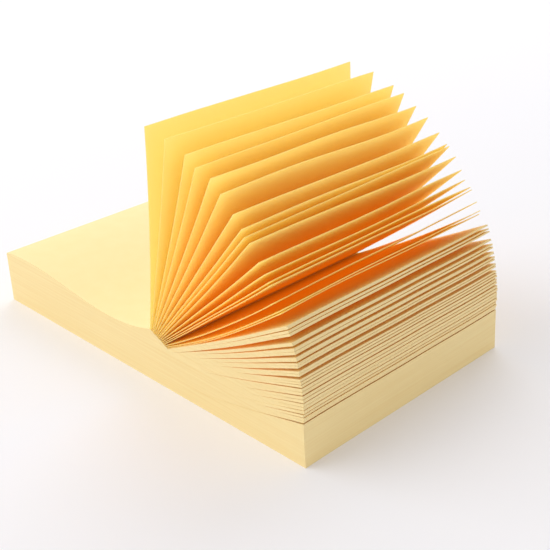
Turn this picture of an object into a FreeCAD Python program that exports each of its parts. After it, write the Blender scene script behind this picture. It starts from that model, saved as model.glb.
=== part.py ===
"""A pad of plain self-stick note sheets, standing open like a fan.

The sheets are stuck to each other along one short edge. From there they lie flat as far
as a line across the pad, where the upper sheets turn up and spread out, and the lower
ones open in bundles. The pad is one solid. All sizes are in millimetres and degrees.

Frame: X runs from the stuck edge to the loose edge, Y from the near long side to the far
one, and Z up. The origin is the centre of the pad's foot.
"""
import FreeCAD, Part
import math
import os

# Sheet and stack
SHEET_LENGTH = 127.0      # stuck edge to loose edge
SHEET_WIDTH = 76.0
STACK_HEIGHT = 16.0       # at the stuck edge

# Top of the flat half: it swells near the stuck edge and sags before the bend
SWELL_RISE = 0.9
SWELL_FROM_STUCK_EDGE = 10.0
SAG_DEPTH = 2.7
SAG_BEFORE_BEND = 20.0

# Bend line, where the first sheet turns up, and the centre that the loose edges turn about
BEND_FROM_STUCK_EDGE = 70.3
HINGE_PAST_BEND = 3.7
HINGE_BELOW_TOP = 1.5

# Single leaves from the top one down: the angle of each one's loose edge at the hinge.
# They leave the stack on a short slope that runs down from the bend.
LEAF_ANGLES = [88.5, 81.0, 73.3, 69.4, 64.2, 59.7, 54.3, 50.2, 48.4,
               46.0, 41.2, 37.9, 36.2, 35.2, 30.8, 28.8, 27.8]
LEAF = 0.3                # a few sheets clinging together
LEAVES_SPREAD_OVER = 7.2
LEAVES_TAKE = 0.206       # share of the stack that the single leaves take up

# Bundles below the leaves, from the top one down. Each entry has the angles of its upper
# and lower face's loose edge at the hinge, its height where the leaves end, as a share of
# the stack, and where it parts from the one above, as a share of its length.
BUNDLES = [
    (24.1, 23.2, 0.794, 0.000),
    (22.9, 21.4, 0.750, 0.323),
    (19.7, 18.8, 0.719, 0.041),
    (18.2, 16.5, 0.688, 0.226),
    (15.8, 14.7, 0.644, 0.202),
    (14.3, 12.9, 0.606, 0.359),
    (12.1, 10.7, 0.581, 0.429),
    (9.9, 7.7, 0.562, 0.539),
    (7.3, 5.5, 0.500, 0.257),
    (5.2, 3.4, 0.375, 0.564),
    (3.1, 0.2, 0.300, 0.543),
    (-0.2, -2.6, 0.200, 0.622),
]
# The part below that stays closed: its upper face's angle, height and parting
CLOSED_PART = (-3.0, 0.138, 0.695)

# Curving up draws the loose edges back a little, and a steep leaf reaches further from the
# hinge, because it turned up at the bend line
PULLED_BACK = 0.5
STEEP_REACH = 5.5
FIRST_LEAF_BOW = 0.9      # how far the first leaf bows out of a straight line
FAR_TURN = 2.6            # the first leaf stands this many degrees steeper at the far side

HINGE_X = BEND_FROM_STUCK_EDGE + HINGE_PAST_BEND
HINGE_Z = STACK_HEIGHT - HINGE_BELOW_TOP
FIRST_ANGLE = LEAF_ANGLES[0]


def loose_edge(angle, turn):
    """Upper corner of a leaf's loose edge, as (x, z), with the far side's turn added."""
    steepness = max(angle, 0.0) / FIRST_ANGLE
    reach = SHEET_LENGTH - HINGE_X - PULLED_BACK + STEEP_REACH * steepness ** 3
    bearing = math.radians(angle + turn * steepness ** 3)
    return HINGE_X + reach * math.cos(bearing), HINGE_Z + reach * math.sin(bearing)


def leaf_root(row):
    """Point where a single leaf leaves the stack, as (x, z)."""
    share = row / len(LEAF_ANGLES)
    x = BEND_FROM_STUCK_EDGE + share * LEAVES_SPREAD_OVER
    return x, STACK_HEIGHT * (1 - share * LEAVES_TAKE)


def bundle_root(angle, level, parts_at, turn):
    """Point where a bundle parts from the one above, as (x, z)."""
    base_x, base_z = BEND_FROM_STUCK_EDGE + LEAVES_SPREAD_OVER, STACK_HEIGHT * level
    tip_x, tip_z = loose_edge(angle, turn)
    return base_x + parts_at * (tip_x - base_x), base_z + parts_at * (tip_z - base_z)


def lower_corner(corner, angle, thickness):
    """Lower corner of a loose edge that is square to a leaf at this angle."""
    bearing = math.radians(angle)
    return corner[0] + thickness * math.sin(bearing), corner[1] - thickness * math.cos(bearing)


def face_line(start, end, bow):
    """Edge of a leaf's face between two points, standing off its chord by bow, to its left."""
    if bow == 0.0:
        return Part.makeLine(start, end)
    run = end - start
    across = FreeCAD.Vector(-run.z, 0, run.x).normalize()
    middle = (start + end) * 0.5 + across * bow
    return Part.Arc(start, middle, end).toShape()


def profile(y, turn):
    """Closed outline of the pad across its leaves, in the plane at y."""
    def point(pair):
        return FreeCAD.Vector(pair[0], y, pair[1])

    top = [
        (0.0, STACK_HEIGHT),
        (SWELL_FROM_STUCK_EDGE, STACK_HEIGHT + SWELL_RISE),
        (BEND_FROM_STUCK_EDGE - SAG_BEFORE_BEND, STACK_HEIGHT - SAG_DEPTH),
        (BEND_FROM_STUCK_EDGE, STACK_HEIGHT),
    ]
    top_curve = Part.BSplineCurve()
    top_curve.interpolate([point(pair) for pair in top])
    edges = [top_curve.toShape()]

    rows = []
    for row, angle in enumerate(LEAF_ANGLES):
        upper = loose_edge(angle, turn)
        rows.append((leaf_root(row), upper, lower_corner(upper, angle, LEAF)))
    for angle, lower_angle, level, parts_at in BUNDLES:
        root = bundle_root(angle, level, parts_at, turn)
        rows.append((root, loose_edge(angle, turn), loose_edge(lower_angle, turn)))
    rest_angle, rest_level, rest_parts_at = CLOSED_PART
    rest_root = bundle_root(rest_angle, rest_level, rest_parts_at, turn)
    next_roots = [root for root, _, _ in rows[1:]] + [rest_root]
    bow = FIRST_LEAF_BOW
    for (root, upper, lower), next_root in zip(rows, next_roots):
        edges.append(face_line(point(root), point(upper), -bow))
        edges.append(Part.makeLine(point(upper), point(lower)))
        edges.append(face_line(point(lower), point(next_root), bow))
        bow = 0.0

    closed_top = loose_edge(rest_angle, turn)
    foot_end = (SHEET_LENGTH, 0.0)
    edges.append(Part.makeLine(point(rest_root), point(closed_top)))
    edges.append(Part.makeLine(point(closed_top), point(foot_end)))
    edges.append(Part.makeLine(point(foot_end), point((0.0, 0.0))))
    edges.append(Part.makeLine(point((0.0, 0.0)), point((0.0, STACK_HEIGHT))))
    return Part.Wire(edges)


def note_sheets():
    """The whole pad, as one solid between the outlines of its two long sides."""
    near = profile(0.0, 0.0)
    far = profile(SHEET_WIDTH, FAR_TURN)
    pad = Part.makeLoft([near, far], True, True)
    pad.translate(FreeCAD.Vector(-SHEET_LENGTH / 2, -SHEET_WIDTH / 2, 0))
    return pad


os.makedirs("parts", exist_ok=True)
note_sheets().exportStep("parts/note_sheets.step")
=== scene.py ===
"""Looks of a pad of plain self-stick note sheets that stands open like a fan.

Lengths are in millimetres up to the meshes, which are in metres. X runs from the stuck
edge to the loose edge, Y from the near long side to the far one, and Z up. Profiles are
drawn with x from the stuck edge, and moved to the frame's centred origin in the mesh.
"""

import math
import random

import bpy
from mathutils import Matrix, Vector, noise


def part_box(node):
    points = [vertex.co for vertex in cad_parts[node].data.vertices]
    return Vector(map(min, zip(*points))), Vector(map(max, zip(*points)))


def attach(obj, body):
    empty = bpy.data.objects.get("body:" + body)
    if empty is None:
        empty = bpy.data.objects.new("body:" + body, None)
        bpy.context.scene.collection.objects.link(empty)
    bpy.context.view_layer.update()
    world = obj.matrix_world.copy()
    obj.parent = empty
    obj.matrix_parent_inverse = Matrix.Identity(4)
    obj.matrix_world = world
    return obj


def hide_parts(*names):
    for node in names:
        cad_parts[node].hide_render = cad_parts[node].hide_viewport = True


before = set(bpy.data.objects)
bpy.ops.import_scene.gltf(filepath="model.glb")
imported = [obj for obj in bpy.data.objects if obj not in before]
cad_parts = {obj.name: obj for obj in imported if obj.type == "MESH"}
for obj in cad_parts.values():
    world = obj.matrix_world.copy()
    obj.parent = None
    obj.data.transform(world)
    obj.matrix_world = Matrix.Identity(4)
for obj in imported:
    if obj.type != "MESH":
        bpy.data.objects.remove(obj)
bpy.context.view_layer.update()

MM = 0.001
NODE = "note_sheets"
box_low, box_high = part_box(NODE)
SHEET_LENGTH = (box_high.x - box_low.x) / MM
SHEET_WIDTH = (box_high.y - box_low.y) / MM
TOP_Z = box_high.z / MM

# The same driving sizes as the solid's
STACK_HEIGHT = 16.0
SWELL_RISE = 0.9
SWELL_X = 10.0
SAG_DEPTH = 2.7
SAG_X = 50.3
BEND_X = 70.3
HINGE_X = 74.0
HINGE_Z = 14.5
BUNDLES_FROM_X = 77.5      # here the bundles leave the closed part of the stack
BUNDLES_TOP_Z = 12.7
LEAF_THICKNESS = 0.22
LEAF_BURIED = 0.8          # length of a leaf's root inside the closed part
LEAF_RIPPLE = 0.6

# Single leaves from the top one down: bearing in degrees and reach from the hinge of the
# loose edge at the near side, the same at the far side, and how far the leaf curls.
LEAVES = [
    (88.5, 58.5, 91.1, 57.3, 4.0),
    (81.0, 57.5, 82.5, 56.6, 2.0),
    (73.3, 56.4, 74.4, 55.4, 1.5),
    (69.4, 55.5, 70.4, 55.1, 1.0),
    (64.2, 56.4, 65.5, 54.4, 1.0),
    (59.7, 55.2, 60.4, 54.2, 1.0),
    (54.3, 54.3, 54.4, 53.2, 1.0),
    (50.2, 53.5, 50.8, 52.9, 1.0),
    (48.5, 52.8, 49.4, 52.9, 1.0),
    (46.0, 53.0, 46.4, 52.9, 1.0),
    (41.2, 52.5, 41.6, 52.0, 1.0),
    (37.8, 52.3, 38.7, 51.3, 1.0),
    (35.9, 52.3, 36.1, 51.9, 1.0),
    (35.2, 52.3, 35.3, 51.9, 1.0),
    (30.8, 50.2, 31.3, 51.8, 5.0),
    (28.6, 52.3, 28.9, 51.8, 6.0),
    (27.8, 52.2, 28.0, 51.1, 6.0),
]

# Bundles from the top one down: bearings of the upper and lower face's loose edge, height
# where the bundle leaves the stack, share of its length at which it parts from the one
# above, and how many parts it splits into.
BUNDLES = [
    (24.1, 23.2, 12.7, 0.000, 1),
    (22.9, 21.4, 12.0, 0.323, 2),
    (19.7, 18.8, 11.5, 0.041, 1),
    (18.2, 16.5, 11.0, 0.226, 2),
    (15.8, 14.7, 10.3, 0.202, 1),
    (14.3, 12.9, 9.7, 0.359, 2),
    (12.1, 10.7, 9.3, 0.429, 2),
    (9.9, 7.7, 9.0, 0.539, 3),
    (7.3, 5.5, 8.0, 0.257, 2),
    (5.2, 3.4, 6.0, 0.564, 2),
    (3.1, 0.2, 4.8, 0.543, 3),
    (-0.2, -2.6, 3.2, 0.622, 3),
]
CLOSED_PART = (-3.0, -3.0, 2.2, 0.695, 1)
BUNDLE_REACH = 52.6
REACH_SPREAD = 0.12
BUNDLE_CURL = 1.0
BUNDLE_RIPPLE = 0.5
SPLIT_GAP = 0.10           # degrees at the loose edge, between the parts of one bundle
SPLIT_FROM = 0.78          # share of a bundle's length at which its parts separate
OPENING_POWER = 1.3        # above 1, a gap opens slowly at first
FAR_THINNING = 0.5         # share of its thickness that a bundle's edge loses at the far side
BUNDLES_RISE = 21.5        # how far the top bundle's loose edge stands above the hinge
CLOSED_STEP = 0.2          # how far the wall behind the bundles leans

STEPS_ALONG = 28
STEPS_ACROSS = 14
FLAT_STEPS = 40
BUNDLE_SEED = 40
rng = random.Random(7)

# Paper colours, the light that the sheets let through, and a painted glow (emission) that stands
# in for the light bounced between them
PALE = (0.99, 0.82, 0.42)
DEEP = (0.98, 0.80, 0.39)
EDGE_PALE = (0.98, 0.79, 0.40)
EDGE_DEEP = (0.94, 0.72, 0.33)
GLOW = (1.0, 0.92, 0.44)
# Colour of the painted glow: emission standing in for warm light bounced deep between the sheets
PAINTED_GLOW_COLOUR = (1.0, 0.25, 0.01)
LEAF_THROUGH = 0.62
STACK_THROUGH = 0.35
GLOW_FULL_X = 90.0
# Strength of the painted glow on leaves and stack, how it falls off at the root and the loose
# edge, and over how many leaves from the top it builds up
LEAF_PAINTED_GLOW = 0.16
STACK_PAINTED_GLOW = 0.12
PAINTED_GLOW_AT_ENDS = 0.3
LEAVES_TO_FULL_PAINTED_GLOW = 3

# Grain of the sheets' faces and of their cut edges: scale, stretch and depth of the bump
FACE_GRAIN = (220.0, (1.0, 1.0, 1.0), 0.15)
CUT_GRAIN = (900.0, (0.03, 2.0, 1.0), 0.25)
GRAIN_DEPTH = 0.1
PAPER_ROUGHNESS = 0.6
PAPER_SPECULAR = 0.5

FLOOR_COLOUR = (0.93, 0.92, 0.955)
FLOOR_SIZE = 8.0
FADE_FROM = 0.3            # metres from the middle of the pad
FADE_TO = 1.0
WORLD_STRENGTH = 0.62
LAMPS_AIM = Vector((0, 0, 0.03))

# Lamps: name, place and size in metres, power in watts, and colour
LAMPS = [
    ("key", (-0.70, -0.70, 0.80), 1.2, 7.7, (1.0, 0.99, 0.97)),
    ("back", (-0.50, 0.75, 0.75), 1.0, 4.5, (1.0, 0.99, 0.97)),
    ("fill", (1.00, -0.35, 0.30), 0.9, 0.6, (1.0, 0.98, 0.97)),
]

CAMERA_PLACE = Vector((0.20157, -0.17805, 0.14807))
CAMERA_YAW = -46.27
CAMERA_PITCH = -26.33
CAMERA_ROLL = -1.92
FOCAL_PIXELS = 1033.87
FRAME_PIXELS = 550.0
SENSOR = 36.0


def polar(bearing, reach):
    """Point (x, z) at a bearing and reach from the hinge."""
    angle = math.radians(bearing)
    return Vector((HINGE_X + reach * math.cos(angle), HINGE_Z + reach * math.sin(angle)))


def turned(vector, degrees):
    """A 2-D vector turned to the left."""
    c, s = math.cos(math.radians(degrees)), math.sin(math.radians(degrees))
    return Vector((vector.x * c - vector.y * s, vector.x * s + vector.y * c))


def curled(start, end, curl, t):
    """Point at share t of a curve that sets out curl degrees below its chord and ends above."""
    chord = (end - start) / 3
    out, back = start + turned(chord, -curl), end - turned(chord, curl)
    s = 1 - t
    return start * s ** 3 + out * 3 * s * s * t + back * 3 * s * t * t + end * t ** 3


def flat_top(x):
    """Height of the flat half's top, a smooth curve through its swell and sag."""
    knots = [(0.0, 0.0), (SWELL_X, SWELL_RISE), (SAG_X, -SAG_DEPTH), (BEND_X, 0.0)]
    rise = 0.0
    for i, (xi, zi) in enumerate(knots):
        share = 1.0
        for j, (xj, _) in enumerate(knots):
            if i != j:
                share *= (x - xj) / (xi - xj)
        rise += zi * share
    return STACK_HEIGHT + rise


def ripple(seed, along, across):
    """A sheet's slight unevenness, off its face, which grows towards the loose edge."""
    place = Vector((along * 1.6 + seed * 3.1, across * 1.9 + seed * 7.7, seed * 1.3))
    return noise.noise(place) * along ** 1.5


def painted_glow_along(along):
    """Strength of the painted glow that stands in for light bounced between sheets: most of it
    half way along, little at the root and the edge.
    """
    return PAINTED_GLOW_AT_ENDS + 4 * (1 - PAINTED_GLOW_AT_ENDS) * along * (1 - along)


PAINTED_GLOW_ALONG = [painted_glow_along(i / STEPS_ALONG) for i in range(STEPS_ALONG + 1)]


def grid_of(line, uneven, seed, root_inset, edge_inset):
    """Points of one face as rows of (x, y, z), from its line across the pad."""
    rows = []
    for i in range(STEPS_ALONG + 1):
        along = i / STEPS_ALONG
        inset = root_inset + (edge_inset - root_inset) * along
        row = []
        for k in range(STEPS_ACROSS + 1):
            across = k / STEPS_ACROSS
            point = line(along, across)
            lift = uneven * ripple(seed, along, across)
            x = min(point.x - lift * 0.5, SHEET_LENGTH)
            y = inset + (SHEET_WIDTH - 2 * inset) * across
            row.append(Vector((x, y, min(point.y + lift, TOP_Z))))
        rows.append(row)
    return rows


def slab_faces(steps, span):
    """Faces of a closed piece, and for each one 0 on a sheet's face or 1 on a cut edge."""
    def up(i, k):
        return i * span + k

    def down(i, k):
        return (steps + 1 + i) * span + k

    faces, cut = [], []
    last = span - 1
    for i in range(steps):
        for k in range(last):
            faces.append((up(i, k), up(i + 1, k), up(i + 1, k + 1), up(i, k + 1)))
            faces.append((down(i, k), down(i, k + 1), down(i + 1, k + 1), down(i + 1, k)))
            cut += [0, 0]
        faces.append((down(i, 0), down(i + 1, 0), up(i + 1, 0), up(i, 0)))
        faces.append((up(i, last), up(i + 1, last), down(i + 1, last), down(i, last)))
        cut += [1, 1]
    for k in range(last):
        faces.append((down(steps, k), down(steps, k + 1), up(steps, k + 1), up(steps, k)))
        faces.append((up(0, k), up(0, k + 1), down(0, k + 1), down(0, k)))
        cut += [1, 1]
    return faces, cut


def slab(name, upper, lower, materials, painted_glow):
    """A closed piece between two faces, each given as rows of points from root to edge.

    The last argument gives, row by row, how strongly the piece glows: a painted glow that stands
    in for the light the sheets around it pass on to it.
    """
    span = len(upper[0])
    points = [p for face in (upper, lower) for row in face for p in row]
    faces, cut = slab_faces(len(upper) - 1, span)
    mesh = bpy.data.meshes.new(name)
    centre = Vector((SHEET_LENGTH / 2, SHEET_WIDTH / 2, 0))
    mesh.from_pydata([(p - centre) * MM for p in points], [], faces)
    for material in materials:
        mesh.materials.append(material)
    mesh.polygons.foreach_set("material_index", cut)
    mesh.polygons.foreach_set("use_smooth", [kind == 0 for kind in cut])
    mark_rims(mesh, cut)
    lay_uvs(mesh, cut)
    # Painted glow strength for every point, kept as a mesh attribute for the shader
    shares = [share for _ in (upper, lower) for share in painted_glow for _ in range(span)]
    mesh.attributes.new("painted_glow", "FLOAT", "POINT").data.foreach_set("value", shares)
    mesh.update()
    piece = bpy.data.objects.new(name, mesh)
    bpy.context.scene.collection.objects.link(piece)
    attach(piece, "root")
    return piece


def mark_rims(mesh, cut):
    """Keeps the edge between a sheet's face and its cut edges sharp."""
    sides = {}
    for polygon in mesh.polygons:
        for key in polygon.edge_keys:
            sides.setdefault(key, []).append(cut[polygon.index])
    for edge in mesh.edges:
        edge.use_edge_sharp = 1 in sides[edge.key]


def lay_uvs(mesh, cut):
    """UVs in metres: along and across the sheets on their faces, along and up on cut edges."""
    uvs = mesh.uv_layers.new(name="sheets")
    for polygon in mesh.polygons:
        for loop in polygon.loop_indices:
            x, y, z = mesh.vertices[mesh.loops[loop].vertex_index].co
            uvs.data[loop].uv = (x + y, z) if cut[polygon.index] else (x, y)


def grain_noise(nodes, links, scale, stretch):
    """A noise texture over the sheets' UVs, stretched along each axis as given."""
    uv = nodes.new("ShaderNodeUVMap")
    uv.uv_map = "sheets"
    mapping = nodes.new("ShaderNodeMapping")
    mapping.inputs["Scale"].default_value = stretch
    texture = nodes.new("ShaderNodeTexNoise")
    texture.inputs["Scale"].default_value = scale
    texture.inputs["Detail"].default_value = 4.0
    links.new(uv.outputs["UV"], mapping.inputs["Vector"])
    links.new(mapping.outputs["Vector"], texture.inputs["Vector"])
    return texture


def add_grain(nodes, links, shader, pale, deep, grain):
    """Clouds the paper between two colours and roughens it a little."""
    scale, stretch, bump = grain
    cloud = grain_noise(nodes, links, scale, stretch)
    ramp = nodes.new("ShaderNodeValToRGB")
    ramp.color_ramp.elements[0].position = 0.3
    ramp.color_ramp.elements[0].color = (*deep, 1)
    ramp.color_ramp.elements[1].position = 0.7
    ramp.color_ramp.elements[1].color = (*pale, 1)
    links.new(cloud.outputs["Fac"], ramp.inputs["Fac"])
    links.new(ramp.outputs["Color"], shader.inputs["Base Color"])
    relief = nodes.new("ShaderNodeBump")
    relief.inputs["Strength"].default_value = bump
    relief.inputs["Distance"].default_value = GRAIN_DEPTH * MM
    links.new(cloud.outputs["Fac"], relief.inputs["Height"])
    links.new(relief.outputs["Normal"], shader.inputs["Normal"])


def add_painted_glow(nodes, links, shader, painted_glow_strength):
    """A painted glow: faint warm emission that stands in for the light many sheets close together
    pass on to each other.
    """
    painted_glow = nodes.new("ShaderNodeAttribute")
    painted_glow.attribute_name = "painted_glow"
    weight = nodes.new("ShaderNodeMapRange")
    weight.inputs["To Max"].default_value = painted_glow_strength
    links.new(painted_glow.outputs["Fac"], weight.inputs["Value"])
    links.new(weight.outputs["Result"], shader.inputs["Emission Strength"])
    shader.inputs["Emission Color"].default_value = (*PAINTED_GLOW_COLOUR, 1)


def glow_share(nodes, links, through):
    """Share of light let through: none in the closed stack, all of it where the sheets part."""
    place = nodes.new("ShaderNodeTexCoord")
    split = nodes.new("ShaderNodeSeparateXYZ")
    share = nodes.new("ShaderNodeMapRange")
    share.inputs["From Min"].default_value = (BEND_X - SHEET_LENGTH / 2) * MM
    share.inputs["From Max"].default_value = (GLOW_FULL_X - SHEET_LENGTH / 2) * MM
    share.inputs["To Min"].default_value = 0.0
    share.inputs["To Max"].default_value = through
    links.new(place.outputs["Object"], split.inputs["Vector"])
    links.new(split.outputs["X"], share.inputs["Value"])
    return share.outputs["Result"]


def add_glow(nodes, links, shader, through, parting):
    """Lets a share of the light through the sheet."""
    glowing = nodes.new("ShaderNodeBsdfTranslucent")
    glowing.inputs["Color"].default_value = (*GLOW, 1)
    mix = nodes.new("ShaderNodeMixShader")
    mix.inputs["Fac"].default_value = through
    if parting:
        links.new(glow_share(nodes, links, through), mix.inputs["Fac"])
    links.new(shader.outputs["BSDF"], mix.inputs[1])
    links.new(glowing.outputs["BSDF"], mix.inputs[2])
    links.new(mix.outputs["Shader"], nodes["Material Output"].inputs["Surface"])


def paper(name, pale, deep, grain, through=0.0, painted_glow_strength=0.0, parting=False):
    """Uncoated paper: cloudy between two colours, matt, and letting some light through."""
    material = bpy.data.materials.new(name)
    material.use_nodes = True
    nodes, links = material.node_tree.nodes, material.node_tree.links
    shader = nodes["Principled BSDF"]
    shader.inputs["Roughness"].default_value = PAPER_ROUGHNESS
    shader.inputs["Specular IOR Level"].default_value = PAPER_SPECULAR
    add_grain(nodes, links, shader, pale, deep, grain)
    # Painted glow: emission standing in for light bounced between the sheets
    if painted_glow_strength:
        add_painted_glow(nodes, links, shader, painted_glow_strength)
    if through:
        add_glow(nodes, links, shader, through, parting)
    return material


def build_leaves(materials):
    """The single leaves, each a thin curled sheet rooted in the closed part."""
    slope_top = Vector((BEND_X, STACK_HEIGHT))
    slope_foot = Vector((BUNDLES_FROM_X, BUNDLES_TOP_Z))
    for n, (near_bearing, near_reach, far_bearing, far_reach, curl) in enumerate(LEAVES):
        root = slope_top.lerp(slope_foot, n / len(LEAVES))
        near_tip, far_tip = polar(near_bearing, near_reach), polar(far_bearing, far_reach)
        buried = root + (root - near_tip).normalized() * LEAF_BURIED

        def upper(along, across):
            return curled(buried, near_tip.lerp(far_tip, across), curl, along)

        def lower(along, across):
            ahead = upper(along + 0.01, across) - upper(along - 0.01, across)
            return upper(along, across) + turned(ahead.normalized(), -90) * LEAF_THICKNESS

        inset = 0.05 + rng.random() * 0.15
        faces = [grid_of(line, LEAF_RIPPLE, n, inset, inset) for line in (upper, lower)]
        # Leaves lower in the fan get more painted glow, up to full strength
        depth = min(1.0, n / LEAVES_TO_FULL_PAINTED_GLOW)
        slab(f"leaf_{n + 1:02d}", *faces, materials, [depth * share for share in PAINTED_GLOW_ALONG])


def bundle_lines():
    """For every part of every bundle: its base, its upper and lower edge, and its parting."""
    parts = []
    stack = BUNDLES + [CLOSED_PART]
    for (top_bearing, low_bearing, level, parting, count), below in zip(stack, stack[1:]):
        each = (top_bearing - low_bearing - SPLIT_GAP * (count - 1)) / count
        for part in range(count):
            bearing = top_bearing - part * (each + SPLIT_GAP)
            reach = BUNDLE_REACH + rng.uniform(-REACH_SPREAD, REACH_SPREAD)
            base = Vector((BUNDLES_FROM_X, level + (below[2] - level) * part / count))
            parts_from = parting if part == 0 else SPLIT_FROM
            parts.append((base, polar(bearing, reach), polar(bearing - each, reach), parts_from))
    bearing, _, level, parting, _ = CLOSED_PART
    edge = polar(bearing, BUNDLE_REACH)
    parts.append((Vector((BUNDLES_FROM_X, level)), edge, edge, parting))
    return parts


def build_bundles(parts, materials):
    """The bundles, which lie on each other as far as each one's parting point."""
    for n, (part, below) in enumerate(zip(parts, parts[1:])):
        base, tip, low_tip, _ = part
        base_below, tip_below, _, parting = below
        thinning = FAR_THINNING * max(0.0, tip.y - HINGE_Z) / BUNDLES_RISE

        def upper(along, across):
            return curled(base, tip, BUNDLE_CURL, along)

        def lower(along, across):
            opened = max(0.0, (along - parting) / (1 - parting)) ** OPENING_POWER
            edge = low_tip.lerp(tip, thinning * across)
            return curled(base_below, tip_below, BUNDLE_CURL, along) + (edge - tip_below) * opened

        inset = 0.02 + rng.random() * 0.12
        faces = [grid_of(line, BUNDLE_RIPPLE, BUNDLE_SEED, 0.0, inset) for line in (upper, lower)]
        slab(f"bundle_{n + 1:02d}", *faces, materials, PAINTED_GLOW_ALONG)


def build_closed_part(parts, materials):
    """The flat half and the part that stays closed under the fan, as one block."""
    base, tip, _, _ = parts[-1]
    flat_xs = [BEND_X * i / FLAT_STEPS for i in range(FLAT_STEPS + 1)]
    outline = [Vector((x, flat_top(x))) for x in flat_xs]
    outline += [Vector((BUNDLES_FROM_X, BUNDLES_TOP_Z)), base + Vector((CLOSED_STEP, 0))]
    across = [SHEET_WIDTH * k / STEPS_ACROSS for k in range(STEPS_ACROSS + 1)]
    upper = [[Vector((point.x, y, point.y)) for y in across] for point in outline]

    def top_line(along, _):
        return curled(base, tip, BUNDLE_CURL, along)

    upper += grid_of(top_line, BUNDLE_RIPPLE, BUNDLE_SEED, 0.0, 0.0)[1:]
    lower = []
    for row in upper:
        stretch = SHEET_LENGTH / tip.x if row is upper[-1] else 1.0
        lower.append([Vector((p.x * stretch, p.y, 0.0)) for p in row])
    # No painted glow on the flat half; the part under the fan gets the painted glow like a bundle
    painted_glow = [0.0] * len(outline) + PAINTED_GLOW_ALONG[1:]
    return slab("closed_sheets", upper, lower, materials, painted_glow)


def build_pad():
    """The whole pad, in the place of its solid."""
    leaf_paper = [
        paper("leaf_face", PALE, DEEP, FACE_GRAIN, LEAF_THROUGH, LEAF_PAINTED_GLOW),
        paper("leaf_edge", PALE, DEEP, FACE_GRAIN, LEAF_THROUGH),
    ]
    stack_paper = [
        paper("stack_face", PALE, DEEP, FACE_GRAIN, STACK_THROUGH, STACK_PAINTED_GLOW, parting=True),
        paper("stack_edge", EDGE_PALE, EDGE_DEEP, CUT_GRAIN),
    ]
    parts = bundle_lines()
    closed_sheets = build_closed_part(parts, stack_paper)
    build_bundles(parts, stack_paper)
    build_leaves(leaf_paper)
    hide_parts(NODE)


def fade_far_floor(tree, shader):
    """Away from the pad the floor turns into the pale ground, for camera rays alone."""
    nodes, links = tree.nodes, tree.links
    place = nodes.new("ShaderNodeTexCoord")
    distance = nodes.new("ShaderNodeVectorMath")
    distance.operation = "LENGTH"
    fade = nodes.new("ShaderNodeMapRange")
    fade.interpolation_type = "SMOOTHSTEP"
    fade.inputs["From Min"].default_value = FADE_FROM
    fade.inputs["From Max"].default_value = FADE_TO
    path = nodes.new("ShaderNodeLightPath")
    seen = nodes.new("ShaderNodeMath")
    seen.operation = "MULTIPLY"
    ground = nodes.new("ShaderNodeEmission")
    ground.inputs["Color"].default_value = (*FLOOR_COLOUR, 1)
    mix = nodes.new("ShaderNodeMixShader")
    links.new(place.outputs["Object"], distance.inputs[0])
    links.new(distance.outputs["Value"], fade.inputs["Value"])
    links.new(fade.outputs["Result"], seen.inputs[0])
    links.new(path.outputs["Is Camera Ray"], seen.inputs[1])
    links.new(seen.outputs["Value"], mix.inputs["Fac"])
    links.new(shader.outputs["BSDF"], mix.inputs[1])
    links.new(ground.outputs["Emission"], mix.inputs[2])
    links.new(mix.outputs["Shader"], nodes["Material Output"].inputs["Surface"])


def add_floor():
    """A plain pale floor."""
    bpy.ops.mesh.primitive_plane_add(size=FLOOR_SIZE)
    floor = bpy.context.object
    floor.name = "floor"
    material = bpy.data.materials.new("floor")
    material.use_nodes = True
    shader = material.node_tree.nodes["Principled BSDF"]
    shader.inputs["Base Color"].default_value = (*FLOOR_COLOUR, 1)
    shader.inputs["Roughness"].default_value = 0.9
    shader.inputs["Specular IOR Level"].default_value = 0.1
    fade_far_floor(material.node_tree, shader)
    floor.data.materials.append(material)


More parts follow.
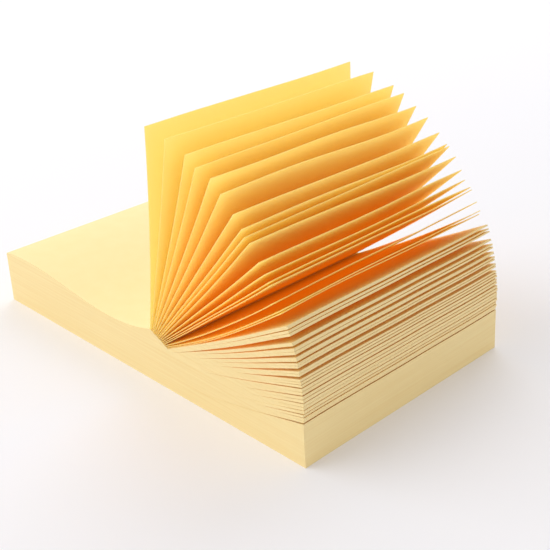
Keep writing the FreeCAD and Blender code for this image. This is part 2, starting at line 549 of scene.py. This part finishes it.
def add_lamp(name, place, size, power, colour):
    """A soft square lamp that faces the pad."""
    lamp = bpy.data.lights.new(name, "AREA")
    lamp.size = size
    lamp.energy = power
    lamp.color = colour
    holder = bpy.data.objects.new(name, lamp)
    bpy.context.scene.collection.objects.link(holder)
    holder.location = place
    holder.rotation_euler = (LAMPS_AIM - Vector(place)).to_track_quat("-Z", "Y").to_euler()


def add_world():
    """Even light from all round, and a pale ground where a ray sees past the floor."""
    world = bpy.data.worlds.new("studio")
    bpy.context.scene.world = world
    world.use_nodes = True
    nodes, links = world.node_tree.nodes, world.node_tree.links
    light = nodes["Background"]
    light.inputs["Color"].default_value = (1, 1, 1, 1)
    light.inputs["Strength"].default_value = WORLD_STRENGTH
    seen = nodes.new("ShaderNodeBackground")
    seen.inputs["Color"].default_value = (*FLOOR_COLOUR, 1)
    path = nodes.new("ShaderNodeLightPath")
    share = path.outputs["Is Camera Ray"]
    for kind in ("Is Glossy Ray", "Is Transmission Ray"):
        either = nodes.new("ShaderNodeMath")
        either.operation = "MAXIMUM"
        links.new(share, either.inputs[0])
        links.new(path.outputs[kind], either.inputs[1])
        share = either.outputs[0]
    mix = nodes.new("ShaderNodeMixShader")
    links.new(share, mix.inputs["Fac"])
    links.new(light.outputs["Background"], mix.inputs[1])
    links.new(seen.outputs["Background"], mix.inputs[2])
    links.new(mix.outputs["Shader"], nodes["World Output"].inputs["Surface"])


def add_camera():
    """The photograph's camera: it looks down on the pad past its loose, near corner."""
    data = bpy.data.cameras.new("camera")
    data.sensor_width = SENSOR
    data.lens = SENSOR * FOCAL_PIXELS / FRAME_PIXELS
    data.clip_start = 0.01
    camera = bpy.data.objects.new("camera", data)
    bpy.context.scene.collection.objects.link(camera)
    turn = Matrix.Rotation(math.radians(-CAMERA_YAW), 4, "Z")
    tilt = Matrix.Rotation(math.radians(90 + CAMERA_PITCH), 4, "X")
    roll = Matrix.Rotation(math.radians(CAMERA_ROLL), 4, "Z")
    camera.matrix_world = Matrix.Translation(CAMERA_PLACE) @ turn @ tilt @ roll
    bpy.context.scene.camera = camera


build_pad()
add_floor()
for lamp_values in LAMPS:
    add_lamp(*lamp_values)
add_world()
add_camera()
bpy.context.scene.view_settings.view_transform = "Standard"
